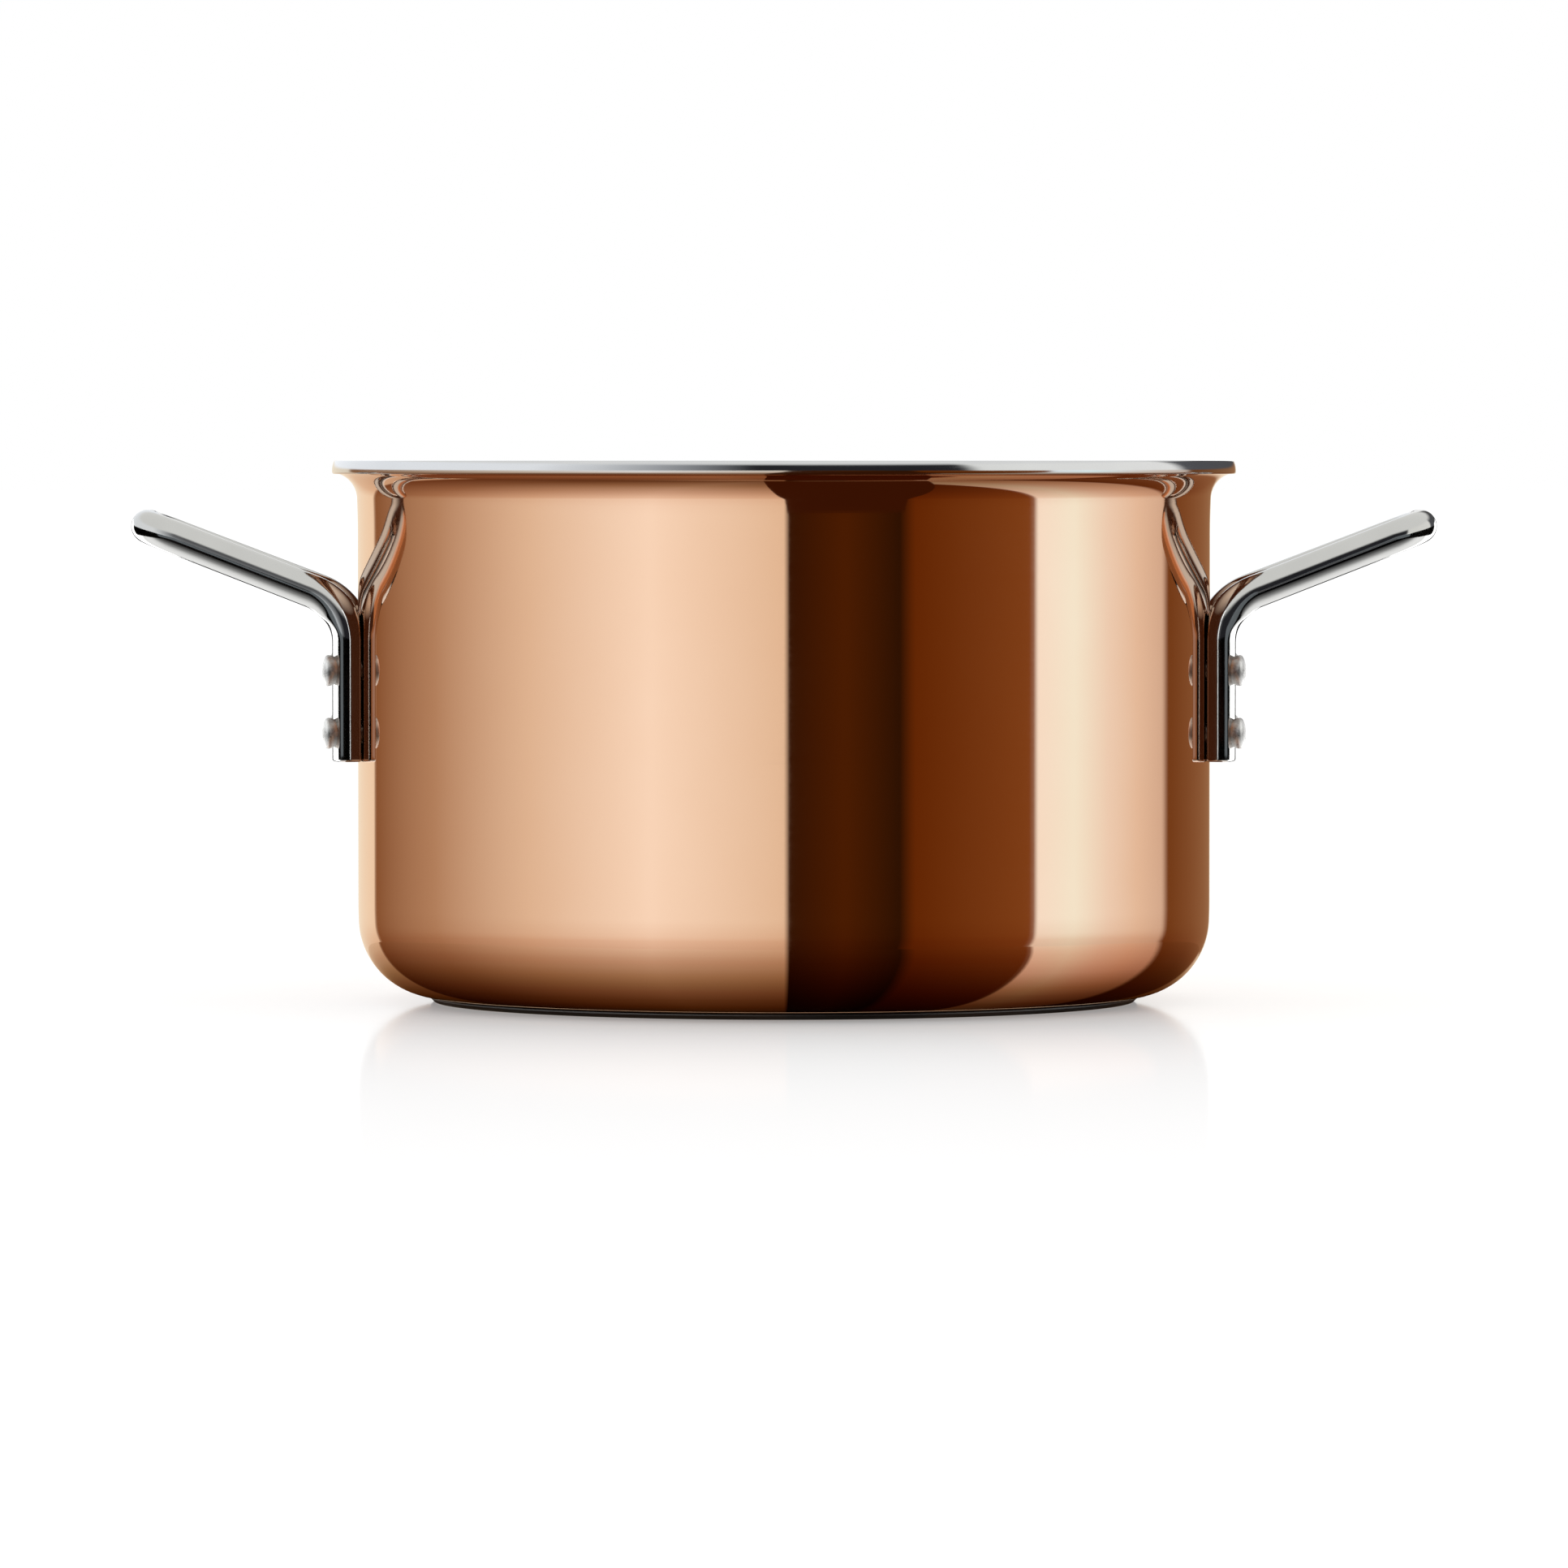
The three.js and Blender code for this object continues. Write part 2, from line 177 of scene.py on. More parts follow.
def path_lengths(points):
    """The distance along a row of points at each of them."""
    lengths = [0.0]
    for here, ahead in zip(points, points[1:]):
        lengths.append(lengths[-1] + (Vector(ahead) - Vector(here)).length)
    return lengths


def skin(name, rings, rows, girth, tool_along=False, capped=False):
    """A mesh over rings of points in millimetres, smooth but for its sharp edges.

    A ring of one point closes a pole, and capped closes both ends with a flat face. Each face corner keeps
    its place on the surface in surface_mm: first the way that the tool ran, which is around the rings, or
    along the rows for tool_along, and then across it.
    """
    bm = bmesh.new()
    surface = bm.loops.layers.float_vector.new("surface_mm")
    verts = [[bm.verts.new(point * MM) for point in ring] for ring in rings]
    sides = max(len(ring) for ring in rings)

    def add_face(corners):
        face = bm.faces.new([verts[row][side % len(verts[row])] for row, side in corners])
        face.smooth = True
        for loop, (row, side) in zip(face.loops, corners):
            around = girth * side / sides
            loop[surface] = (rows[row], around, 0) if tool_along else (around, rows[row], 0)

    for row in range(len(rings) - 1):
        for side in range(sides):
            corners = [(row, side), (row, side + 1), (row + 1, side + 1), (row + 1, side)]
            if len(rings[row]) == 1:
                corners.pop(1)
            elif len(rings[row + 1]) == 1:
                corners.pop(2)
            add_face(corners)
    if capped:
        add_face([(0, side) for side in reversed(range(sides))])
        add_face([(len(rings) - 1, side) for side in range(sides)])
    mesh = bpy.data.meshes.new(name)
    bm.to_mesh(mesh)
    bm.free()
    mesh.set_sharp_from_angle(angle=SHARP_TURN)
    return mesh


def revolve(name, profile, segments):
    """Turns a profile of (radius, height) points about Z. It starts and ends on the axis, outside first."""
    turns = [2 * math.pi * segment / segments for segment in range(segments)]
    rings = []
    for radius, height in profile:
        if radius == 0:
            rings.append([Vector((0, 0, height))])
        else:
            rings.append([Vector((radius * math.cos(turn), radius * math.sin(turn), height))
                          for turn in turns])
    girth = 2 * math.pi * max(radius for radius, _ in profile)
    return skin(name, rings, path_lengths(profile), girth)


# Vessel profiles

def flat(height, end_radius):
    """The flat bottom of a profile, from the axis to just before its end."""
    return [(0, height)] + [(end_radius * i / FLOOR_RINGS, height) for i in range(1, FLOOR_RINGS)]


def vessel_face(depth, top_height):
    """One face of the wall, a given depth inside the copper's outside, from the axis up to a height."""
    top_turn = math.asin((top_height - flare_centre_height) / (flare_radius + depth))
    wall_radius = BODY_RADIUS - depth
    wall = [(wall_radius, height) for height in steps_between(corner_end, run_in_start, WALL_STEPS)]
    corner = arc(bottom_flat_radius, corner_centre_height, corner_radius - depth,
                 -math.pi / 2, -CORNER_RUN_IN_TURN, CORNER_STEPS)
    run_in = arc(BODY_RADIUS + run_in_radius, run_in_start, run_in_radius + depth,
                 math.pi, math.pi - FLARE_RUN_IN_TURN, RUN_IN_STEPS)
    return [
        *flat(copper_bottom + depth, bottom_flat_radius),
        *corner[:-1],
        *arc(BODY_RADIUS - corner_run_in_radius, corner_end, corner_run_in_radius - depth,
             -CORNER_RUN_IN_TURN, 0, RUN_IN_STEPS),
        *wall[1:-1],
        *run_in[:-1],
        *arc(flare_centre_radius, flare_centre_height, flare_radius + depth,
             math.pi - FLARE_RUN_IN_TURN, math.pi - top_turn, FLARE_STEPS),
    ]


def copper_profile():
    edge_top = rim_underside + LINER_THICKNESS
    return [
        *vessel_face(0, rim_underside),
        (copper_edge_radius, edge_top),
        *reversed(vessel_face(COPPER_THICKNESS, edge_top)),
    ]


def core_profile():
    """The core, out over the rim as a flange that the lining is hemmed round."""
    flange_radius = rim_radius - LINER_THICKNESS - BOND_GAP
    flange_underside = rim_underside + LINER_THICKNESS + BOND_GAP
    flange_top = flange_underside + CORE_THICKNESS
    return [
        *vessel_face(core_outside, flange_underside),
        (flange_radius, flange_underside),
        (flange_radius, flange_top),
        *reversed(vessel_face(core_inside, flange_top)),
    ]


def rim_edge():
    """The rolled outer edge of the rim, crowned and leaning in a little, from underside to top."""
    edge = RIM_EDGE_RADIUS
    low_drop = edge * (1 + math.sin(RIM_CROWN_LOW))
    high_drop = edge * (1 - math.sin(RIM_CROWN_HIGH))
    crown_height = rim_thickness - low_drop - high_drop
    crown_radius = crown_height / (math.sin(RIM_CROWN_HIGH) - math.sin(RIM_CROWN_LOW))
    crown_centre = rim_radius - crown_radius
    crown_middle = rim_underside + low_drop - crown_radius * math.sin(RIM_CROWN_LOW)
    low_centre = crown_centre + (crown_radius - edge) * math.cos(RIM_CROWN_LOW)
    high_centre = crown_centre + (crown_radius - edge) * math.cos(RIM_CROWN_HIGH)
    crown = arc(crown_centre, crown_middle, crown_radius, RIM_CROWN_LOW, RIM_CROWN_HIGH, CROWN_STEPS)
    return [
        *arc(low_centre, rim_underside + edge, edge, -math.pi / 2, RIM_CROWN_LOW, EDGE_STEPS),
        *crown[1:-1],
        *arc(high_centre, POT_HEIGHT - edge, edge, RIM_CROWN_HIGH, math.pi / 2, EDGE_STEPS),
    ]


def liner_profile():
    """The lining, out over the flange, round its edge and back under it as a hem beside the copper."""
    hem_radius = rim_radius - LINER_THICKNESS
    hem_top = POT_HEIGHT - LINER_THICKNESS
    hem_bottom = rim_underside + LINER_THICKNESS
    hem_end = copper_edge_radius + BOND_GAP
    return [
        *vessel_face(liner_outside, hem_top),
        (hem_radius, hem_top),
        (hem_radius, hem_bottom),
        (hem_end, hem_bottom),
        (hem_end, rim_underside),
        *rim_edge(),
        *reversed(vessel_face(liner_inside, POT_HEIGHT)),
    ]


def base_profile():
    plate_radius = bottom_flat_radius + BASE_OVERLAP
    foot_radius = plate_radius - BASE_CHAMFER
    return [
        *flat(0, foot_radius),
        (foot_radius, 0),
        (plate_radius, BASE_CHAMFER),
        (plate_radius, BASE_THICKNESS),
        *reversed(flat(BASE_THICKNESS, plate_radius)),
    ]


# Handle: the rod's path from the foot of a leg to the tip of the loop, for the handle towards +X

UP = Vector((0, 0, 1))
slope = Vector((math.cos(HANDLE_RISE), 0, math.sin(HANDLE_RISE)))
loop_normal = Vector((-math.sin(HANDLE_RISE), 0, math.cos(HANDLE_RISE)))

# The arms lean towards each other so that they run tangent into the round end
tip_x = BODY_RADIUS + HANDLE_PROJECTION - rod_radius
end_centre_run = (tip_x - leg_x) / math.cos(HANDLE_RISE) - HANDLE_END_RADIUS
arm_lean = (math.acos(HANDLE_END_RADIUS / math.hypot(leg_side, end_centre_run))
            - math.atan2(end_centre_run, leg_side))
arm_direction = slope * math.cos(arm_lean) - Vector((0, math.sin(arm_lean), 0))
bend_turn = math.acos(arm_direction.z)
bend_out = Vector((arm_direction.x, arm_direction.y, 0)).normalized()
bend_start = HANDLE_CORNER_HEIGHT - HANDLE_BEND_RADIUS * math.tan(bend_turn / 2)
leg_out = Vector((math.cos(leg_azimuth), math.sin(leg_azimuth), 0))
leg_twist = bend_out.angle(leg_out)
rivet_heights = {
    "upper": bend_start - RIVET_TOP_MARGIN,
    "lower": bend_start - RIVET_TOP_MARGIN - RIVET_PITCH,
}
leg_foot = rivet_heights["lower"] - RIVET_END_MARGIN


def soft_lower(value, limit):
    """The lower of two depths, with the edge between them rounded off as a press leaves it."""
    share = min(max(0.5 + (limit - value) / (2 * PRESS_EDGE), 0), 1)
    return blend(limit, value, share) - PRESS_EDGE * share * (1 - share)


def rod_ring(centre, travel, outward, oval_depth, width, outside, inside, face_turn):
    """A section of the rod: an oval pressed flat inside and outside, its outer face crowned and turned."""
    across = travel.cross(outward)
    ring = []
    for side in range(ROD_SIDES):
        angle = 2 * math.pi * side / ROD_SIDES
        offset = width / 2 * math.sin(angle)
        depth = oval_depth / 2 * math.cos(angle)
        face = outside - math.tan(face_turn) * offset - offset ** 2 / (2 * LEG_FACE_CROWN)
        depth = soft_lower(depth, face)
        depth = -soft_lower(-depth, inside)
        ring.append(centre + outward * depth + across * offset)
    return ring


def round_ring(centre, travel, outward):
    """A section of the plain rod, whose press limits lie clear of it."""
    clear = rod_radius + PRESS_EDGE
    return rod_ring(centre, travel, outward, ROD_DIAMETER, ROD_DIAMETER, clear, clear, 0)


def leg_ring(height, inset):
    """A section of the pressed leg, drawn in by an inset at its rounded foot."""
    press = LEG_THICKNESS / 2 - inset
    centre = Vector((leg_x, leg_side, height))
    return rod_ring(centre, UP, leg_out, LEG_OVAL_DEPTH - 2 * inset, LEG_WIDTH - 2 * inset, press, press,
                    LEG_FACE_TURN)


def bend_ring(turn):
    """A section in the bend, where the press flats run out, the inner one as the rod leaves the wall."""
    travel = UP * math.cos(turn) + bend_out * math.sin(turn)
    towards_centre = bend_out * math.cos(turn) - UP * math.sin(turn)
    roundness = smoothstep(turn / bend_turn)
    centre = (Vector((leg_x, leg_side, bend_start))
              + bend_out * (HANDLE_BEND_RADIUS * (1 - math.cos(turn)))
              + UP * (HANDLE_BEND_RADIUS * math.sin(turn)))
    outward = Matrix.Rotation(leg_twist * (1 - roundness), 3, travel) @ towards_centre
    clear = rod_radius + PRESS_EDGE
    clear_of_wall = (HANDLE_BEND_RADIUS + LEG_THICKNESS / 2) / math.cos(turn) - HANDLE_BEND_RADIUS
    return rod_ring(centre, travel, outward,
                    oval_depth=blend(LEG_OVAL_DEPTH, ROD_DIAMETER, roundness),
                    width=blend(LEG_WIDTH, ROD_DIAMETER, roundness),
                    outside=blend(LEG_THICKNESS / 2, clear, roundness),
                    inside=min(clear, clear_of_wall),
                    face_turn=LEG_FACE_TURN * (1 - roundness))


def end_ring(angle):
    """A section in the round end, which lies in the sloping plane of the loop."""
    run = end_centre_run + HANDLE_END_RADIUS * math.sin(angle)
    centre = (Vector((leg_x, 0, HANDLE_CORNER_HEIGHT))
              + slope * run
              + Vector((0, HANDLE_END_RADIUS * math.cos(angle), 0)))
    travel = slope * math.cos(angle) - Vector((0, math.sin(angle), 0))
    return round_ring(centre, travel, -loop_normal)


def middle_of(ring):
    return sum(ring, Vector()) / len(ring)


def handle_mesh(name):
    foot = []
    for angle in steps_between(0, math.pi / 2, FOOT_STEPS):
        inset = LEG_END_ROUND * (1 - math.sin(angle))
        foot.append(leg_ring(leg_foot + LEG_END_ROUND * (1 - math.cos(angle)), inset))
    leg = [leg_ring(height, 0) for height in steps_between(leg_foot + LEG_END_ROUND, bend_start, LEG_STEPS)]
    bend = [bend_ring(turn) for turn in steps_between(0, bend_turn, BEND_STEPS)]
    end = [end_ring(angle) for angle in steps_between(arm_lean, math.pi / 2, END_STEPS)]
    arm = [[blend(here, ahead, share) for here, ahead in zip(bend[-1], end[0])]
           for share in steps_between(0, 1, ARM_STEPS)]
    half = foot + leg[1:-1] + bend + arm[1:-1] + end
    mirrored = [[Vector((point.x, -point.y, point.z)) for point in ring] for ring in reversed(half[:-1])]
    rings = half + mirrored
    rows = path_lengths([middle_of(ring) for ring in rings])
    return skin(name, rings, rows, math.pi * ROD_DIAMETER, tool_along=True, capped=True)


# Rivet: it stands on Z here, its height being its distance from the pot's axis

def dome(radius, edge_height, rise):
    """An oval arc from the edge of a disc to its top on the axis."""
    quarter = arc(0, 0, 1, 0, math.pi / 2, DOME_STEPS)
    points = [(radius * across, edge_height + rise * up) for across, up in quarter]
    return points[:-1] + [(0, edge_height + rise)]


def rivet_profile():
    """Inner head, shank and outer head: a lens whose oval underside runs on into the leg, under a dome."""
    inner_head_radius = INNER_HEAD_DIAMETER / 2
    inner_seat = math.sqrt(inner_radius ** 2 - inner_head_radius ** 2)
    shank_radius = RIVET_SHANK_DIAMETER / 2
    foot_radius = RIVET_HEAD_FOOT_DIAMETER / 2
    head_radius = RIVET_HEAD_DIAMETER / 2
    edge_height = leg_outside + foot_radius * math.tan(LEG_FACE_TURN) + SEAT_GAP + RIVET_HEAD_FLANK
    swell = (edge_height - leg_outside) / math.sin(math.acos(foot_radius / head_radius))
    shank_angle = math.acos(shank_radius / head_radius)
    flank = [(head_radius * across, edge_height + swell * up)
             for across, up in arc(0, 0, 1, -shank_angle, 0, FLANK_STEPS)]
    return [
        *reversed(dome(inner_head_radius, inner_seat, -INNER_HEAD_HEIGHT)),
        (shank_radius, inner_seat),
        *flank[:-1],
        *dome(head_radius, edge_height, RIVET_HEAD_DOME),
    ]


# Material helpers

# Sockets of the Mix node that carry colour
MIX_FACTOR = 0
MIX_FIRST = 6
MIX_SECOND = 7
MIX_RESULT = 2

# The noise that draws tool lines and clouds, and the range that the sum of both mostly keeps to
NOISE_DETAIL = 3.0
LINE_NOISE_ROUGHNESS = 0.6
CLOUD_NOISE_ROUGHNESS = 0.5
UNEVEN_LOW, UNEVEN_HIGH = 0.7, 1.3


def linear(hex_colour):
    """An sRGB hex colour as the linear colour that a shader takes."""
    channels = [int(hex_colour[i:i + 2], 16) / 255 for i in (1, 3, 5)]
    return (*[c / 12.92 if c <= 0.04045 else ((c + 0.055) / 1.055) ** 2.4 for c in channels], 1.0)


def grey(value):
    return (value, value, value, 1.0)


WHITE = grey(1.0)


def bare_material(name):
    """A material with no nodes yet, and its tree."""
    material = bpy.data.materials.new(name)
    material.use_nodes = True
    material.node_tree.nodes.clear()
    return material, material.node_tree


def add_node(tree, kind, inputs=None, **settings):
    """Adds a node with its settings. An input is a value, or the output that it is linked to."""
    node = tree.nodes.new("ShaderNode" + kind)
    for name, value in settings.items():
        setattr(node, name, value)
    for name, value in (inputs or {}).items():
        if isinstance(value, bpy.types.NodeSocket):
            tree.links.new(value, node.inputs[name])
        else:
            node.inputs[name].default_value = value
    return node


def set_stops(ramp_node, stops):
    """Gives a colour ramp its stops of (position, colour)."""
    ramp = ramp_node.color_ramp
    while len(ramp.elements) < len(stops):
        ramp.elements.new(1.0)
    for element, (position, colour) in zip(ramp.elements, stops):
        element.position = position
        element.color = colour


def tooled_metal(name, light, dark, smoothest, roughest, line_length, line_pitch, line_depth, cloud_size):
    """A bare metal with the fine lines of the tool that made it, over soft clouds of tone and gloss.

    The lines are line_length long, line_pitch apart and line_depth deep, and the clouds cloud_size across.
    """
    material, tree = bare_material(name)
    place = add_node(tree, "Attribute", attribute_type="GEOMETRY", attribute_name="surface_mm")
    stretched = add_node(tree, "VectorMath", {
        0: place.outputs["Vector"],
        1: (1 / line_length, 1 / line_pitch, 1),
    }, operation="MULTIPLY")
    lines = add_node(tree, "TexNoise", {
        "Vector": stretched.outputs["Vector"], "Scale": 1.0,
        "Detail": NOISE_DETAIL, "Roughness": LINE_NOISE_ROUGHNESS,
    })
    spread = add_node(tree, "TexCoord")
    clouds = add_node(tree, "TexNoise", {
        "Vector": spread.outputs["Object"], "Scale": 1 / (cloud_size * MM),
        "Detail": NOISE_DETAIL, "Roughness": CLOUD_NOISE_ROUGHNESS,
    })
    tone = add_node(tree, "Mix", {
        MIX_FACTOR: clouds.outputs["Fac"], MIX_FIRST: linear(dark), MIX_SECOND: linear(light),
    }, data_type="RGBA")
    uneven = add_node(tree, "Math", {0: lines.outputs["Fac"], 1: clouds.outputs["Fac"]}, operation="ADD")
    gloss = add_node(tree, "MapRange", {
        "Value": uneven.outputs["Value"], "From Min": UNEVEN_LOW, "From Max": UNEVEN_HIGH,
        "To Min": smoothest, "To Max": roughest,
    })
    relief = add_node(tree, "Bump", {
        "Strength": 1.0, "Distance": line_depth * MM, "Height": lines.outputs["Fac"],
    })
    shader = add_node(tree, "BsdfPrincipled", {
        "Base Color": tone.outputs[MIX_RESULT], "Metallic": 1.0,
        "Roughness": gloss.outputs["Result"], "Normal": relief.outputs["Normal"],
    })
    add_node(tree, "OutputMaterial", {"Surface": shader.outputs["BSDF"]})
    return material


# Finishes: real tool lines and pits are finer than the picture can show, so all are drawn coarser

# Copper, spun to shape on a lathe and buffed: a warm mirror with a breath of haze, softly clouded,
# with faint spinning lines around the pot.
spun_copper = tooled_metal(
    "spun_buffed_copper", light="#f6d6be", dark="#f2ccb0", smoothest=0.03, roughest=0.055,
    line_length=90, line_pitch=0.9, line_depth=0.0012, cloud_size=45)

# Stainless steel, spun and left satin: a soft grey sheen with plain turning lines.
satin_steel = tooled_metal(
    "spun_satin_stainless_steel", light="#d2d3d2", dark="#c3c4c4", smoothest=0.22, roughest=0.34,
    line_length=70, line_pitch=0.7, line_depth=0.012, cloud_size=30)

# Stainless steel, rolled over and polished: a bright, clear mirror.
polished_rim_steel = tooled_metal(
    "polished_stainless_steel_rim", light="#dadbdc", dark="#cfd0d2", smoothest=0.06, roughest=0.12,
    line_length=40, line_pitch=0.4, line_depth=0.001, cloud_size=20)

# Magnetic stainless steel, turned flat and darkened: dull dark grey with the rings of the lathe tool.
turned_dark_steel = tooled_metal(
    "turned_dark_magnetic_steel", light="#7d8386", dark="#686e72", smoothest=0.32, roughest=0.5,
    line_length=120, line_pitch=0.8, line_depth=0.02, cloud_size=25)

# Stainless steel rod, drawn, bent and polished: a mirror with hairline draw marks along it.
polished_rod_steel = tooled_metal(
    "drawn_polished_stainless_steel_rod", light="#cfcfcd", dark="#c4c4c2", smoothest=0.05, roughest=0.12,
    line_length=25, line_pitch=0.5, line_depth=0.0015, cloud_size=12)

# Stainless steel, headed cold and blasted: light grey and dull, with fine pits.
blasted_rivet_steel = tooled_metal(
    "blasted_stainless_steel", light="#e6e6e4", dark="#a9a9a8", smoothest=0.34, roughest=0.55,
    line_length=0.3, line_pitch=0.3, line_depth=0.016, cloud_size=0.5)

# Aluminium sheet, rolled: pale grey with straight roll lines, hidden between copper and lining.
rolled_aluminium = tooled_metal(
    "rolled_aluminium", light="#c2c5c8", dark="#b2b5b8", smoothest=0.38, roughest=0.5,
    line_length=60, line_pitch=0.6, line_depth=0.01, cloud_size=30)


# Pieces

def show(name, mesh, materials):
    """Puts a mesh in the scene as the piece that stands for the CAD node of its name."""
    piece = bpy.data.objects.new(name + "_finished", mesh)
    bpy.context.scene.collection.objects.link(piece)
    for material in materials:
        mesh.materials.append(material)
    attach(piece, "root")
    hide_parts(name)
    return piece


def show_turned(name, profile, materials):
    """Puts a round piece of the vessel in the scene, turned from its profile."""
    return show(name, revolve(name, profile, VESSEL_SEGMENTS), materials)


lining_finishes = [satin_steel, polished_rim_steel]
copper_shell = show_turned("copper_shell", copper_profile(), [spun_copper])
show_turned("aluminium_core", core_profile(), [rolled_aluminium])
base_plate = show_turned("base_plate", base_profile(), [turned_dark_steel])
steel_liner = show_turned("steel_liner", liner_profile(), lining_finishes)

# The rim is polished, from the hem over the edge to the mouth
for polygon in steel_liner.data.polygons:
    radius = polygon.center.xy.length / MM
    height = polygon.center.z / MM
    if radius > copper_edge_radius - RIM_OVERHANG and height > rim_underside - BOND_GAP:
        polygon.material_index = lining_finishes.index(polished_rim_steel)

# The way that each handle points along X
SIDE_SIGNS = {"right": 1, "left": -1}

handles = {}
rivets = {"right": [], "left": []}
for side, sign in SIDE_SIGNS.items():
    turn = math.atan2(0, sign)
    handle = handle_mesh("handle_" + side)
    handle.transform(Matrix.Rotation(turn, 4, "Z"))
    handles[side] = show("handle_" + side, handle, [polished_rod_steel])
    for leg, leg_sign in (("front", -1), ("back", 1)):
        across = sign * leg_sign
        for level, height in rivet_heights.items():
            name = f"rivet_{side}_{leg}_{level}"
            rivet = revolve(name, rivet_profile(), RIVET_SEGMENTS)
            rivet.transform(Matrix.Translation((0, 0, height * MM))
                            @ Matrix.Rotation(turn + across * leg_azimuth, 4, "Z")
                            @ Matrix.Rotation(math.pi / 2, 4, "Y"))
            rivets[side].append(show(name, rivet, [blasted_rivet_steel]))


# Studio: panels that stand in a ring round the pot, as (left edge, right edge, colours from left to right).
# Azimuths are in degrees, with 0 at the camera and left negative. The low panels reach down to the floor,
# and are what the copper shows. The high ones stand above them, and are what the steel rim shows.
ALL_ROUND = (-180, 180)
LIGHT_PANEL_LEFT = 71.4
LOW_PANELS = [
    (-180, -146, ["#e3d6c1", "#e3d6c1"]),
    (-144.5, 0.5, ["#805636", "#ab8e75", "#d6c7b7", "#f0efec", "#dacdbd"]),
    (1.2, 31, ["#311604", "#472104", "#2b1504"]),
    (35, 70.2, ["#5f2c07", "#7a4720"]),
    (LIGHT_PANEL_LEFT, 123, ["#eef5f8", "#ebfeff", "#e4e2de", "#dbcdc0", "#cbbaad"]),
    (126, 170, ["#6e411e", "#8f6849"]),
    (174, 180, ["#e3d6c1", "#e3d6c1"]),
]
HIGH_PANELS = [
    (-180, -70, ["#eef1f5", "#f2f4f6"]),
    (-68, -8, ["#f2f4f6", "#d0d2d4", "#9b9da0", "#26262a"]),
    (-7, 46, ["#26262a", "#26262a"]),
    (51, 118, ["#ecece8", "#f2f1ee"]),
    (124, 170, ["#55565a", "#4a494a"]),
    (174, 180, ["#f2f2f2", "#f2f2f2"]),
]

# How the low panels fade towards the floor, as (elevation, elevation, colours from lower to higher)
STRAIGHT_DOWN, LEVEL = -90, 0
PANEL_FADE = [
    (STRAIGHT_DOWN, -30, ["#6c4c36", "#9d816b", "#cfb9ac"]),
    (-10, -3, ["#ecddd4", "#ffffff"]),
]

# Elevations over which the high panels take over from the low ones, and the ceiling from both
HIGH_START, HIGH_FULL = 1, 4
CEILING_START, CEILING_FULL = 22, 36
CEILING = "#e6e6e4"
STUDIO_GLOW = 1.2

# What a piece sees of the studio by way of another one, and the elevations where that sets in and out
SECOND_SIGHT = "#46291a"
SECOND_START, SECOND_FULL = -20, -10
SECOND_LESS, SECOND_END = 35, 60

# The ray depth that parts a first sight from a second one, which is one more for lamps and the world
SHEET_FIRST = 1.5
LAMP_FIRST = 2.5


def stops_between(first, last, panels):
    """Ramp stops of panels whose edges lie between first and last."""
    return [((angle - first) / (last - first), linear(colour))
            for left, right, colours in panels
            for angle, colour in zip(steps_between(left, right, len(colours) - 1), colours)]


